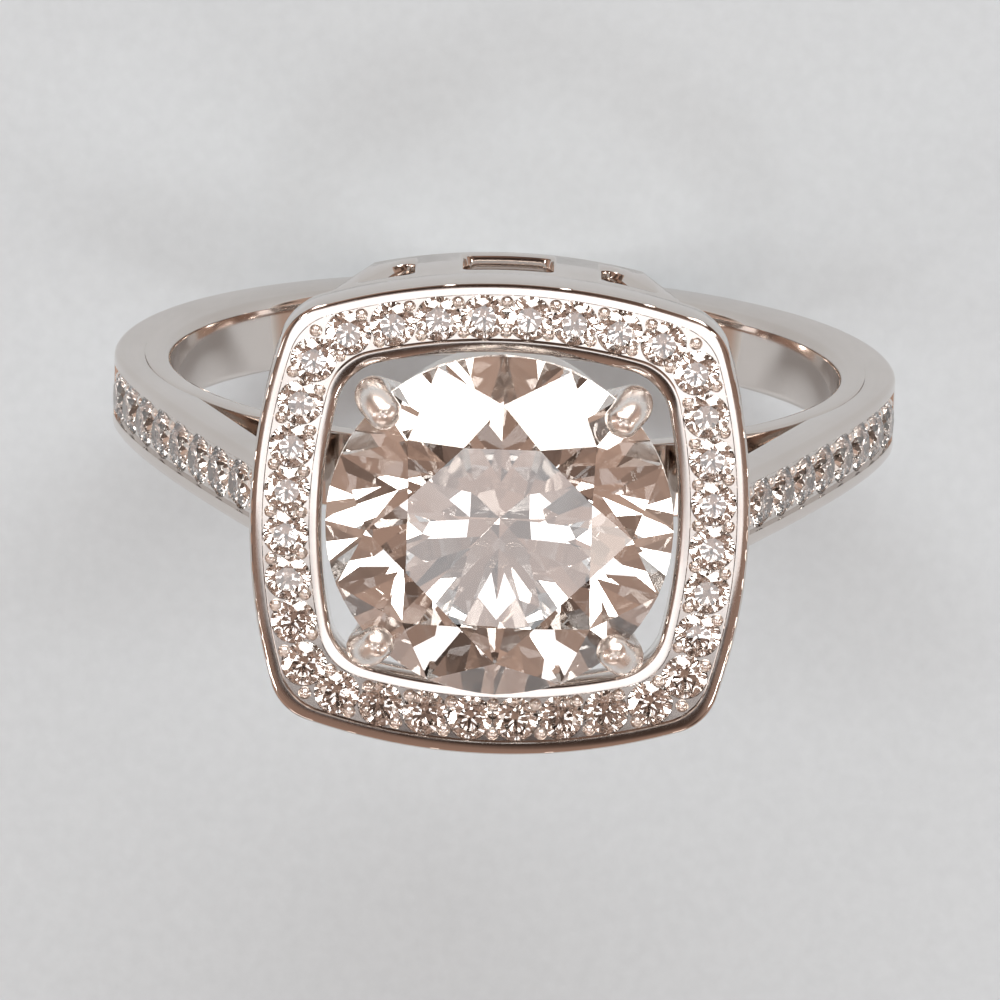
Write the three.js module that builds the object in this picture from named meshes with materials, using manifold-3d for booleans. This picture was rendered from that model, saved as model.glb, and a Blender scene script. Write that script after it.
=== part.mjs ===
// A halo engagement ring in white gold: a round brilliant held by four claws above a cushion-shaped
// pavé halo, on a pierced gallery, with pavé cathedral shoulders and a plain shank.
//
// Millimetres, +Z up. The origin is the centre of the finger hole, the finger runs along Y, and the
// head stands on +Z.

import * as THREE from 'three';
import { ConvexGeometry } from 'three/addons/geometries/ConvexGeometry.js';
import { mergeVertices } from 'three/addons/utils/BufferGeometryUtils.js';
import Module from 'manifold-3d';

// ---------------------------------------------------------------- driving dimensions

const BORE_RADIUS = 8.46; // US size 6 1/2
const BAND_WIDTH = 1.95; // along the finger
const SHANK_RADIUS = 9.9;
const RAIL_RADIUS = 9.12;
const SHANK_END_ANGLE = THREE.MathUtils.degToRad( - 3.5 ); // where the lower shank meets the shoulders
const SOLDER_GAP = 0.02;
const EDGE_BEVEL = 0.1;

const HALO_HALF_X = 6.08;
const HALO_HALF_Y = 5.92;
const HALO_SIDE_RADIUS = 14.8; // each side of the cushion is a shallow arc
const HALO_CORNER_RADIUS = 1.35;
const HALO_TOP = 12.75;
const HALO_DEPTH = 1.15;
const HALO_BEVEL = 0.08;
const OUTER_RIM = 0.32;
const CHANNEL_WIDTH = 1.12;
const INNER_RIM = 0.31;
const CHANNEL_DEPTH = 0.12;
const HALO_STONES = 32;
const HALO_MELEE = 1.1; // diameter

const GALLERY_INSET = 0.08;
const GALLERY_WALL = 0.7;
const GALLERY_BOTTOM = 9.0;
const GALLERY_RAIL_BOTTOM = 11.15;
const WINDOW_WIDTH = 2.2;
const WINDOW_BOTTOM = 9.42;
const WINDOW_TOP = 10.95;
const END_WINDOW_START = 2.3; // from the middle of the wall
const END_WINDOW_FOOT = 2.75;
const END_WINDOW_END = 3.75;
const END_WINDOW_BOTTOM = 9.75;
const SIDE_WINDOW_WIDTH = 1.1;
const SIDE_WINDOW_OFFSET = 2.05;

const CENTRE_DIAMETER = 8.45;
const CENTRE_GIRDLE = 13.1; // underside of the girdle
const SEAT_CLEARANCE = 0.015;

const BASE_INNER = 2.45;
const BASE_OUTER = 3.42;
const BASE_BOTTOM = 8.68;
const BASE_TOP = 9.75;

const CLAW_RADIUS = 0.45;

const SHOULDER_TOP = new THREE.Vector2( HALO_HALF_X - GALLERY_INSET + SOLDER_GAP, 11.05 );
const SHOULDER_CONTROL = new THREE.Vector2( SHANK_RADIUS, 2.9 );
const SHOULDER_END_HEIGHT = 2.1; // height of the face that meets the gallery
const SHOULDER_MEET_ANGLE = THREE.MathUtils.degToRad( 34 ); // where the arm's underside meets the rail
const SHOULDER_STONES = 8;
const SHOULDER_MELEE = 1.24; // diameter
const SHOULDER_PITCH = 1.33;
const SHOULDER_LAST_STONE = 1.1; // from the upper end of the arm to the centre of the last stone
const SHOULDER_CHANNEL = 1.3;

// ---------------------------------------------------------------- materials

const WHITE_GOLD = { color: 0xe6dfda, metalness: 1, roughness: 0.16 };
const DIAMOND = { color: 0xf4f1ee, metalness: 0, roughness: 0.03 };

// ---------------------------------------------------------------- solids

const wasm = await Module();
wasm.setup();

/** Turn a closed geometry into a solid that can be cut and joined. */
function solidOf( geometry ) {

	const bare = geometry.clone();
	bare.deleteAttribute( 'normal' );
	bare.deleteAttribute( 'uv' );
	const merged = mergeVertices( bare, 1e-5 );
	const vertProperties = new Float32Array( merged.attributes.position.array );
	const triVerts = new Uint32Array( merged.index.array );
	return new wasm.Manifold( new wasm.Mesh( { numProp: 3, vertProperties, triVerts } ) );

}

/** Turn a solid back into a geometry. */
function geometryOf( solid ) {

	const mesh = solid.getMesh();
	const geometry = new THREE.BufferGeometry();
	geometry.setAttribute( 'position', new THREE.BufferAttribute( mesh.vertProperties, 3 ) );
	geometry.setIndex( new THREE.BufferAttribute( mesh.triVerts, 1 ) );
	geometry.computeVertexNormals();
	return geometry;

}

/** Subtract every cutter geometry from a blank geometry. */
function cut( blank, cutters ) {

	return cutters.reduce( ( solid, cutter ) => solid.subtract( solidOf( cutter ) ), solidOf( blank ) );

}

/** A mesh with a material of its own. */
function piece( name, geometry, material ) {

	const mesh = new THREE.Mesh( geometry, new THREE.MeshStandardMaterial( material ) );
	mesh.name = name;
	return mesh;

}

/** Points on an arc round the finger's axis, in the XZ plane. */
function arcPoints( radius, from, to, segments ) {

	return Array.from( { length: segments + 1 }, ( _, i ) => {

		const angle = THREE.MathUtils.lerp( from, to, i / segments );
		return new THREE.Vector2( radius * Math.cos( angle ), radius * Math.sin( angle ) );

	} );

}

/** Extrude an outline drawn in the XZ plane along Y, centred on Y = 0, with bevelled edges. */
function extrudeAcrossBand( outline, width, bevel ) {

	const geometry = new THREE.ExtrudeGeometry( new THREE.Shape( outline ), {
		depth: width - 2 * bevel,
		bevelEnabled: bevel > 0,
		bevelSize: bevel,
		bevelOffset: - bevel,
		bevelThickness: bevel,
		bevelSegments: 1,
	} );
	geometry.translate( 0, 0, - width / 2 + bevel );
	geometry.rotateX( Math.PI / 2 );
	return geometry;

}

// ---------------------------------------------------------------- cushion outline

/** Point on the halo's outline, moved inwards by an inset, at an angle round the head's axis. */
function cushionPoint( angle, inset ) {

	const side = HALO_SIDE_RADIUS - inset;
	const reach = side - HALO_CORNER_RADIUS;
	const sideX = new THREE.Vector2( HALO_HALF_X - HALO_SIDE_RADIUS, 0 );
	const sideY = new THREE.Vector2( 0, HALO_HALF_Y - HALO_SIDE_RADIUS );
	const across = new THREE.Vector2( - sideY.y, - sideX.x );
	const spread = across.length() / 2;
	const corner = sideX.clone().add( sideY ).multiplyScalar( 0.5 )
		.addScaledVector( across.normalize(), Math.sqrt( reach ** 2 - spread ** 2 ) );
	const ray = new THREE.Vector2( Math.abs( Math.cos( angle ) ), Math.abs( Math.sin( angle ) ) );
	const joinX = sideX.clone().lerp( corner, side / reach );
	const joinY = sideY.clone().lerp( corner, side / reach );
	let centre = corner;
	if ( ray.cross( joinX ) > 0 ) centre = sideX;
	if ( ray.cross( joinY ) < 0 ) centre = sideY;
	const radius = centre === corner ? HALO_CORNER_RADIUS : side;
	ray.multiplyScalar( centre.dot( ray ) + Math.sqrt( radius ** 2 - centre.cross( ray ) ** 2 ) );
	return new THREE.Vector2( ray.x * Math.sign( Math.cos( angle ) ), ray.y * Math.sign( Math.sin( angle ) ) );

}

/** Evenly spaced points round the cushion outline, counter-clockwise from +X. */
function cushionOutline( inset, count, shift = 0 ) {

	const fine = 720;
	const points = [];
	for ( let i = 0; i <= fine; i ++ ) {

		points.push( cushionPoint( i / fine * 2 * Math.PI, inset ) );

	}

	const lengths = [ 0 ];
	for ( let i = 1; i <= fine; i ++ ) {

		lengths.push( lengths[ i - 1 ] + points[ i ].distanceTo( points[ i - 1 ] ) );

	}

	const total = lengths[ fine ];
	const even = [];
	let j = 1;
	for ( let i = 0; i < count; i ++ ) {

		const target = ( i + shift ) / count * total;
		while ( lengths[ j ] < target ) j ++;
		const t = ( target - lengths[ j - 1 ] ) / ( lengths[ j ] - lengths[ j - 1 ] );
		even.push( points[ j - 1 ].clone().lerp( points[ j ], t ) );

	}

	return even;

}

/** A cushion-shaped ring between two insets and two heights. */
function cushionRing( outerInset, innerInset, low, high, bevel = 0, count = 60 ) {

	const shape = new THREE.Shape( cushionOutline( outerInset, count ) );
	shape.holes.push( new THREE.Path( cushionOutline( innerInset, count ) ) );
	const geometry = new THREE.ExtrudeGeometry( shape, {
		depth: high - low - 2 * bevel,
		bevelEnabled: bevel > 0,
		bevelSize: bevel,
		bevelOffset: - bevel,
		bevelThickness: bevel,
		bevelSegments: 1,
	} );
	geometry.translate( 0, 0, low + bevel );
	return geometry;

}

// ---------------------------------------------------------------- stones

const TABLE_SHARE = 0.57;
const CROWN_SHARE = 0.15;
const GIRDLE_SHARE = 0.03;
const PAVILION_SHARE = 0.43;
const STAR_LENGTH = 0.5;
const LOWER_HALF_LENGTH = 0.77;

/** A ring of points at one height. */
function ringOfPoints( radius, height, count, turn ) {

	return Array.from( { length: count }, ( _, i ) => {

		const angle = ( i + turn ) / count * 2 * Math.PI;
		return new THREE.Vector3( radius * Math.cos( angle ), radius * Math.sin( angle ), height );

	} );

}

/** A full-cut round brilliant, with the underside of its girdle at z = 0. */
function roundBrilliant( diameter ) {

	const radius = diameter / 2;
	const tableRadius = radius * TABLE_SHARE;
	const girdle = diameter * GIRDLE_SHARE;
	const crown = diameter * CROWN_SHARE;
	const pavilion = diameter * PAVILION_SHARE;
	const half = Math.cos( Math.PI / 8 );
	const starRadius = THREE.MathUtils.lerp( tableRadius * half, radius, STAR_LENGTH );
	const starHeight = girdle + crown * ( radius - starRadius * half ) / ( radius - tableRadius );
	const lowerRadius = radius * ( 1 - LOWER_HALF_LENGTH );
	const lowerHeight = - pavilion * ( 1 - lowerRadius * half / radius );
	return new ConvexGeometry( [
		...ringOfPoints( tableRadius, girdle + crown, 8, 0 ),
		...ringOfPoints( starRadius, starHeight, 8, 0.5 ),
		...ringOfPoints( radius, girdle, 16, 0 ),
		...ringOfPoints( radius, 0, 16, 0 ),
		...ringOfPoints( lowerRadius, lowerHeight, 8, 0.5 ),
		new THREE.Vector3( 0, 0, - pavilion ),
	] );

}

/** A single-cut melee stone, with the underside of its girdle at z = 0. */
function singleCut( diameter ) {

	const radius = diameter / 2;
	const girdle = diameter * GIRDLE_SHARE;
	return new ConvexGeometry( [
		...ringOfPoints( radius * TABLE_SHARE, girdle + diameter * CROWN_SHARE, 8, 0 ),
		...ringOfPoints( radius, girdle, 8, 0 ),
		...ringOfPoints( radius, 0, 8, 0 ),
		new THREE.Vector3( 0, 0, - diameter * PAVILION_SHARE ),
	] );

}

/** The drilled seat of a melee stone: a cone up to the girdle, then straight out of the top. */
function meleeSeat( diameter ) {

	const radius = diameter / 2 + SEAT_CLEARANCE;
	const depth = diameter * PAVILION_SHARE + 2 * SEAT_CLEARANCE;
	const seat = new THREE.LatheGeometry( [
		new THREE.Vector2( 0, - depth ),
		new THREE.Vector2( radius, - SEAT_CLEARANCE ),
		new THREE.Vector2( radius, diameter ),
		new THREE.Vector2( 0, diameter ),
	], 8 );
	seat.rotateX( Math.PI / 2 );
	return seat;

}

// ---------------------------------------------------------------- band

/** The lower shank, from one shoulder joint round under the finger to the other. */
function makeShank() {

	const from = Math.PI - SHANK_END_ANGLE;
	const to = 2 * Math.PI + SHANK_END_ANGLE;
	return extrudeAcrossBand( [
		...arcPoints( SHANK_RADIUS, from, to, 44 ),
		...arcPoints( BORE_RADIUS, to, from, 44 ),
	], BAND_WIDTH, EDGE_BEVEL );

}

/** The thin rail that closes the finger circle under the head. */
function makeFingerRail() {

	const from = SHANK_END_ANGLE + SOLDER_GAP / BORE_RADIUS;
	const to = Math.PI - from;
	return extrudeAcrossBand( [
		...arcPoints( RAIL_RADIUS, from, to, 44 ),
		...arcPoints( BORE_RADIUS, to, from, 44 ),
	], BAND_WIDTH, EDGE_BEVEL );

}

// ---------------------------------------------------------------- shoulders

const shoulderCurve = new THREE.QuadraticBezierCurve(
	new THREE.Vector2( SHANK_RADIUS, 0 ),
	SHOULDER_CONTROL,
	SHOULDER_TOP,
);
const shoulderLength = shoulderCurve.getLength();

/** Point on the upper surface of an arm, raised along its outward normal, in the XZ plane. */
function shoulderPoint( distance, raise ) {

	const u = THREE.MathUtils.clamp( distance / shoulderLength, 0, 1 );
	const tangent = shoulderCurve.getTangentAt( u );
	return shoulderCurve.getPointAt( u ).add( new THREE.Vector2( tangent.y, - tangent.x ).multiplyScalar( raise ) );

}

/** Distance along the arm of each stone, counted from the lower end. */
const shoulderStations = Array.from( { length: SHOULDER_STONES }, ( _, i ) =>
	shoulderLength - SHOULDER_LAST_STONE - ( SHOULDER_STONES - 1 - i ) * SHOULDER_PITCH );

/** Place a melee stone or its seat on the arm, its axis along the surface's normal. */
function placeOnShoulder( geometry, distance ) {

	const u = distance / shoulderLength;
	const tangent = shoulderCurve.getTangentAt( u );
	const point = shoulderPoint( distance, - CHANNEL_DEPTH - SHOULDER_MELEE * GIRDLE_SHARE );
	geometry.rotateY( Math.atan2( tangent.y, - tangent.x ) );
	geometry.translate( point.x, 0, point.y );
	return geometry;

}

/** One cathedral arm on the +X side, with its channel and seats. */
function makeShoulder() {

	const rail = RAIL_RADIUS + SOLDER_GAP;
	const start = SHANK_END_ANGLE + SOLDER_GAP / BORE_RADIUS;
	const blank = extrudeAcrossBand( [
		...arcPoints( SHANK_RADIUS, start, 0, 2 ).slice( 0, - 1 ),
		...shoulderCurve.getSpacedPoints( 20 ),
		new THREE.Vector2( SHOULDER_TOP.x, SHOULDER_TOP.y - SHOULDER_END_HEIGHT ),
		...arcPoints( rail, SHOULDER_MEET_ANGLE, start, 16 ),
	], BAND_WIDTH, EDGE_BEVEL );

	const steps = 20;
	const from = shoulderStations[ 0 ] - SHOULDER_PITCH / 2;
	const groove = [];
	for ( let i = 0; i <= steps; i ++ ) {

		groove.push( shoulderPoint( THREE.MathUtils.lerp( from, shoulderLength, i / steps ), - CHANNEL_DEPTH ) );

	}

	groove.push( shoulderPoint( shoulderLength, - CHANNEL_DEPTH ).add( new THREE.Vector2( - 1, 0 ) ) );
	groove.push( new THREE.Vector2( SHOULDER_TOP.x - 1, SHOULDER_TOP.y + 1 ) );
	groove.push( new THREE.Vector2( SHANK_RADIUS + 1, SHOULDER_TOP.y + 1 ) );
	groove.push( new THREE.Vector2( SHANK_RADIUS + 1, shoulderPoint( from, 0 ).y ) );
	const cutters = shoulderStations.map( ( distance ) =>
		placeOnShoulder( meleeSeat( SHOULDER_MELEE ), distance ) );
	cutters.push( extrudeAcrossBand( groove, SHOULDER_CHANNEL, 0 ) );
	return geometryOf( cut( blank, cutters ) );

}

// ---------------------------------------------------------------- halo and gallery

/** Centre of each halo stone. */
const haloStations = cushionOutline( OUTER_RIM + CHANNEL_WIDTH / 2, HALO_STONES, 0.5 );
const haloStoneZ = HALO_TOP - CHANNEL_DEPTH - HALO_MELEE * GIRDLE_SHARE;

/** The cushion-shaped plate, with its channel and seats. */
function makeHaloFrame() {

	const width = OUTER_RIM + CHANNEL_WIDTH + INNER_RIM;
	const blank = cushionRing( 0, width, HALO_TOP - HALO_DEPTH, HALO_TOP, HALO_BEVEL );
	const cutters = haloStations.map( ( point ) =>
		meleeSeat( HALO_MELEE ).rotateZ( point.angle() ).translate( point.x, point.y, haloStoneZ ) );
	cutters.push( cushionRing( OUTER_RIM, OUTER_RIM + CHANNEL_WIDTH, HALO_TOP - CHANNEL_DEPTH, HALO_TOP + 1 ) );
	return geometryOf( cut( blank, cutters ) );

}

/** A window cutter that pierces the wall at the end of an arm of a cross. */
function wallWindow( width, offset, angle ) {

	const height = WINDOW_TOP - WINDOW_BOTTOM;
	const window = new THREE.BoxGeometry( 3, width, height );
	window.translate( HALO_HALF_X, offset, WINDOW_BOTTOM + height / 2 );
	return window.rotateZ( angle );

}

/** A cutter for the slanted window at one end of the wall over the finger. */
function endWindow( side, angle ) {

	const shape = new THREE.Shape( [
		new THREE.Vector2( side * END_WINDOW_START, END_WINDOW_BOTTOM ),
		new THREE.Vector2( side * END_WINDOW_FOOT, END_WINDOW_BOTTOM ),
		new THREE.Vector2( side * END_WINDOW_END, WINDOW_TOP ),
		new THREE.Vector2( side * END_WINDOW_START, WINDOW_TOP ),
	] );
	const window = new THREE.ExtrudeGeometry( shape, { depth: 4, bevelEnabled: false } );
	window.rotateX( Math.PI / 2 );
	window.translate( 0, HALO_HALF_Y + 2, 0 );
	return window.rotateZ( angle - Math.PI / 2 );

}

/** A cutter that opens the wall at one corner of the cushion, wider at the bottom. */
function cornerOpening( angle ) {

	const shape = new THREE.Shape();
	shape.moveTo( 1.9, GALLERY_BOTTOM - 0.5 );
	shape.lineTo( 0.7, GALLERY_RAIL_BOTTOM );
	shape.lineTo( - 0.7, GALLERY_RAIL_BOTTOM );
	shape.lineTo( - 1.9, GALLERY_BOTTOM - 0.5 );
	const opening = new THREE.ExtrudeGeometry( shape, { depth: 4, bevelEnabled: false } );
	opening.rotateX( Math.PI / 2 );
	opening.translate( 0, 9, 0 );
	return opening.rotateZ( angle - Math.PI / 2 );

}

/** The pierced wall under the halo. */
function makeGallery() {

	const top = HALO_TOP - HALO_DEPTH - SOLDER_GAP;
	const blank = cushionRing( GALLERY_INSET, GALLERY_INSET + GALLERY_WALL, GALLERY_BOTTOM, top );
	const cutters = [];
	for ( let i = 0; i < 4; i ++ ) {

		cutters.push( cornerOpening( ( i + 0.5 ) * Math.PI / 2 ) );

	}

	for ( const side of [ 1, - 1 ] ) {

		const angle = side * Math.PI / 2;
		cutters.push( wallWindow( WINDOW_WIDTH, 0, angle ) );
		cutters.push( endWindow( 1, angle ) );
		cutters.push( endWindow( - 1, angle ) );
		cutters.push( wallWindow( SIDE_WINDOW_WIDTH, SIDE_WINDOW_OFFSET, angle - Math.PI / 2 ) );
		cutters.push( wallWindow( SIDE_WINDOW_WIDTH, - SIDE_WINDOW_OFFSET, angle - Math.PI / 2 ) );

	}

	return geometryOf( cut( blank, cutters ) );

}

// ---------------------------------------------------------------- basket

/** The ring that the claws stand on, notched over the finger rail. */
function makeBaseRing() {

	const ring = new THREE.LatheGeometry( [
		new THREE.Vector2( BASE_INNER, BASE_BOTTOM ),
		new THREE.Vector2( BASE_OUTER, BASE_BOTTOM ),
		new THREE.Vector2( BASE_OUTER, BASE_TOP ),
		new THREE.Vector2( BASE_INNER, BASE_TOP ),
		new THREE.Vector2( BASE_INNER, BASE_BOTTOM ),
	], 40 );
	ring.rotateX( Math.PI / 2 );
	const notch = new THREE.CylinderGeometry(
		RAIL_RADIUS + SOLDER_GAP,
		RAIL_RADIUS + SOLDER_GAP,
		BAND_WIDTH + 2 * SOLDER_GAP,
		160,
	);
	const finger = new THREE.CylinderGeometry( BORE_RADIUS, BORE_RADIUS, 20, 96 );
	return geometryOf( cut( ring, [ notch, finger ] ) );

}

/** A claw at one corner, notched where it grips the girdle of the centre stone. */
function makeClaw( angle, stone ) {

	const path = [
		new THREE.Vector3( 2.93, 0, BASE_TOP - 0.4 ),
		new THREE.Vector3( 2.96, 0, BASE_TOP + 0.1 ),
		new THREE.Vector3( 3.38, 0, 10.9 ),
		new THREE.Vector3( 3.92, 0, 12.0 ),
		new THREE.Vector3( 4.26, 0, 12.75 ),
		new THREE.Vector3( 4.44, 0, 13.3 ),
		new THREE.Vector3( 4.28, 0, 13.72 ),
		new THREE.Vector3( 3.98, 0, 13.94 ),
	];
	const section = new THREE.Shape().absarc( 0, 0, CLAW_RADIUS, 0, 2 * Math.PI );
	const wire = new THREE.ExtrudeGeometry( section, {
		extrudePath: new THREE.CatmullRomCurve3( path ),
		steps: 14,
		curveSegments: 5,
	} );
	const tip = new THREE.SphereGeometry( CLAW_RADIUS, 10, 8 );
	tip.rotateX( Math.PI / 2 );
	tip.translate( ...path.at( - 1 ).toArray() );
	const below = new THREE.BoxGeometry( 10, 10, 2 ).translate( 0, 0, BASE_TOP + SOLDER_GAP - 1 );
	const claw = solidOf( wire ).add( solidOf( tip ) ).subtract( solidOf( below ) );
	const turned = geometryOf( claw ).rotateZ( angle );
	return geometryOf( solidOf( turned ).subtract( solidOf( stone ) ) );

}

// ---------------------------------------------------------------- assembly

const group = new THREE.Group();

const band = new THREE.Group();
band.add( piece( 'shank', makeShank(), WHITE_GOLD ) );
band.add( piece( 'finger_rail', makeFingerRail(), WHITE_GOLD ) );
group.add( band );

for ( const [ name, turn ] of [ [ 'shoulder_right', 0 ], [ 'shoulder_left', Math.PI ] ] ) {

	const shoulder = new THREE.Group();
	shoulder.rotation.z = turn;
	shoulder.add( piece( name, makeShoulder(), WHITE_GOLD ) );
	shoulderStations.forEach( ( distance, i ) => {

		const stone = placeOnShoulder( singleCut( SHOULDER_MELEE ), distance );
		shoulder.add( piece( `${ name }_stone_${ i + 1 }`, stone, DIAMOND ) );

	} );
	group.add( shoulder );

}

const head = new THREE.Group();
head.add( piece( 'halo_frame', makeHaloFrame(), WHITE_GOLD ) );
head.add( piece( 'gallery', makeGallery(), WHITE_GOLD ) );
head.add( piece( 'base_ring', makeBaseRing(), WHITE_GOLD ) );
haloStations.forEach( ( point, i ) => {

	const stone = piece( `halo_stone_${ String( i + 1 ).padStart( 2, '0' ) }`, singleCut( HALO_MELEE ), DIAMOND );
	stone.position.set( point.x, point.y, haloStoneZ );
	stone.rotation.z = point.angle();
	head.add( stone );

} );

const centre = roundBrilliant( CENTRE_DIAMETER ).rotateZ( Math.PI / 8 ).translate( 0, 0, CENTRE_GIRDLE );
const bearing = roundBrilliant( CENTRE_DIAMETER + 2 * SOLDER_GAP ).rotateZ( Math.PI / 8 );
bearing.translate( 0, 0, CENTRE_GIRDLE );
head.add( piece( 'centre_stone', centre, DIAMOND ) );
for ( let i = 0; i < 4; i ++ ) {

	head.add( piece( `claw_${ i + 1 }`, makeClaw( ( i + 0.5 ) * Math.PI / 2, bearing ), WHITE_GOLD ) );

}

group.add( head );

export default group;
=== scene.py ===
"""A halo engagement ring in rhodium-plated white gold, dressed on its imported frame.

Sizes inside the classes are in millimetres, in the frame's own axes: +Z from the finger hole up through
the head, +Y along the finger and +X across the ring. Each piece is scaled to metres as it is finished.
"""

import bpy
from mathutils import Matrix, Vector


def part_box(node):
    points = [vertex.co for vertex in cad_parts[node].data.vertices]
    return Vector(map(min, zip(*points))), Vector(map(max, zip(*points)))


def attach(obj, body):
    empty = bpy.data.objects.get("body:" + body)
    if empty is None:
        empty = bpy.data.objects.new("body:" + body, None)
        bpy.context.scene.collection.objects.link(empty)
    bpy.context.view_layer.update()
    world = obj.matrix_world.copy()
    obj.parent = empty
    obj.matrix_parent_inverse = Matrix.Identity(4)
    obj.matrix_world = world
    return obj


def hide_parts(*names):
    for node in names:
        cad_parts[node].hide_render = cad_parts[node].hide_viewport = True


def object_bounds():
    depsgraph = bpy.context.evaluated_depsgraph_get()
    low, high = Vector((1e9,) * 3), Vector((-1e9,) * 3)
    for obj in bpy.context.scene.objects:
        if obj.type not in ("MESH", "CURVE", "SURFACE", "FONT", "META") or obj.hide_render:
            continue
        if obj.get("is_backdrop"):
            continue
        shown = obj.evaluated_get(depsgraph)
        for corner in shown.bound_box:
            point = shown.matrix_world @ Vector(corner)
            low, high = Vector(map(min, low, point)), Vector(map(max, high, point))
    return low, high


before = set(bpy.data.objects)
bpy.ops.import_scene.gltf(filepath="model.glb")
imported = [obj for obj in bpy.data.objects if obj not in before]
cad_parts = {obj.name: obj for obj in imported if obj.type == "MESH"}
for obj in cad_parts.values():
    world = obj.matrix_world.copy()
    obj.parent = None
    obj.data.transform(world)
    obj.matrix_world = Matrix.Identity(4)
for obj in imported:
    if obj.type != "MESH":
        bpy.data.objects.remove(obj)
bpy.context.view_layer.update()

import logging
import math
from collections.abc import Callable, Iterable, Sequence
from dataclasses import dataclass, field
from enum import Enum

import bmesh
import bpy
from bmesh.types import BMesh, BMVert
from mathutils import Matrix, Vector

MM = 0.001  # metres
BODY = "root"
MERGE = 1e-4  # millimetres: points nearer than this become one
SLIVER = 4e-4  # millimetres: edges shorter than this are dropped after a Boolean cut
ON_PLANE = 1e-5  # millimetres: points nearer than this lie on a cutting plane
SAME_WAY = 0.9999  # cosine above which two normals point the same way
Outline = Sequence[tuple[float, float]]
log = logging.getLogger("ring")


# ------------------------------------------------------------------ small helpers


def linear(hex_colour: str) -> tuple[float, float, float, float]:
    """Turn an sRGB hex colour into a linear one.

    Args:
        hex_colour: Six hex digits, with or without a leading hash.

    Returns:
        Red, green, blue and an alpha of 1, all linear.
    """
    digits = hex_colour.lstrip("#")
    parts = [int(digits[i : i + 2], 16) / 255 for i in (0, 2, 4)]
    red, green, blue = (p / 12.92 if p <= 0.04045 else ((p + 0.055) / 1.055) ** 2.4 for p in parts)
    return red, green, blue, 1.0


def box_mm(node: str) -> tuple[Vector, Vector]:
    """Lowest and highest corner of a frame node, in millimetres."""
    low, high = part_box(node)
    return Vector(low) / MM, Vector(high) / MM


def smooth_step(x: float, start: float, end: float) -> float:
    """Ease from 0 at start to 1 at end."""
    t = min(max((x - start) / (end - start), 0.0), 1.0)
    return t * t * (3 - 2 * t)


def full_turn(steps: int) -> list[float]:
    """Angles of even steps round a full turn, in radians."""
    return [2 * math.pi * i / steps for i in range(steps)]


def add_node(
    tree: bpy.types.NodeTree, kind: str, inputs: dict | None = None, **settings: object
) -> bpy.types.Node:
    """Add a shader node, set its options and fill or link its inputs.

    Args:
        tree: The node tree to add to.
        kind: The node's type name.
        inputs: Input name or number, to a plain value or to the output socket that feeds it.
        **settings: Options set on the node itself.

    Returns:
        The new node.
    """
    node = tree.nodes.new(kind)
    for name, value in settings.items():
        setattr(node, name, value)
    for key, value in (inputs or {}).items():
        if isinstance(value, bpy.types.NodeSocket):
            tree.links.new(value, node.inputs[key])
        else:
            node.inputs[key].default_value = value
    return node


def add_object(name: str, data: bpy.types.ID) -> bpy.types.Object:
    """Put data into the scene.

    Args:
        name: The object's name.
        data: Its mesh, light or camera.

    Returns:
        The object.
    """
    obj = bpy.data.objects.new(name, data)
    bpy.context.scene.collection.objects.link(obj)
    return obj


def as_mesh(bm: BMesh, name: str, materials: Sequence[bpy.types.Material] = ()) -> bpy.types.Mesh:
    """Turn a bmesh into mesh data and use it up.

    Args:
        bm: The bmesh.
        name: The mesh's name.
        materials: Its materials, in the order of the faces' material numbers.

    Returns:
        The mesh.
    """
    mesh = bpy.data.meshes.new(name)
    bm.to_mesh(mesh)
    bm.free()
    for material in materials:
        mesh.materials.append(material)
    return mesh


# ------------------------------------------------------------------ finishes


def blank_material(name: str) -> tuple[bpy.types.Material, bpy.types.NodeTree]:
    """Start a material from nothing.

    Args:
        name: The material's name.

    Returns:
        The material and its empty node tree.
    """
    material = bpy.data.materials.new(name)
    material.use_nodes = True
    material.node_tree.nodes.clear()
    return material, material.node_tree


class Slot(Enum):
    """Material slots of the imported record."""

    GOLD = "white_gold"
    CENTRE = "centre_diamond"
    MELEE = "melee_diamond"


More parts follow.
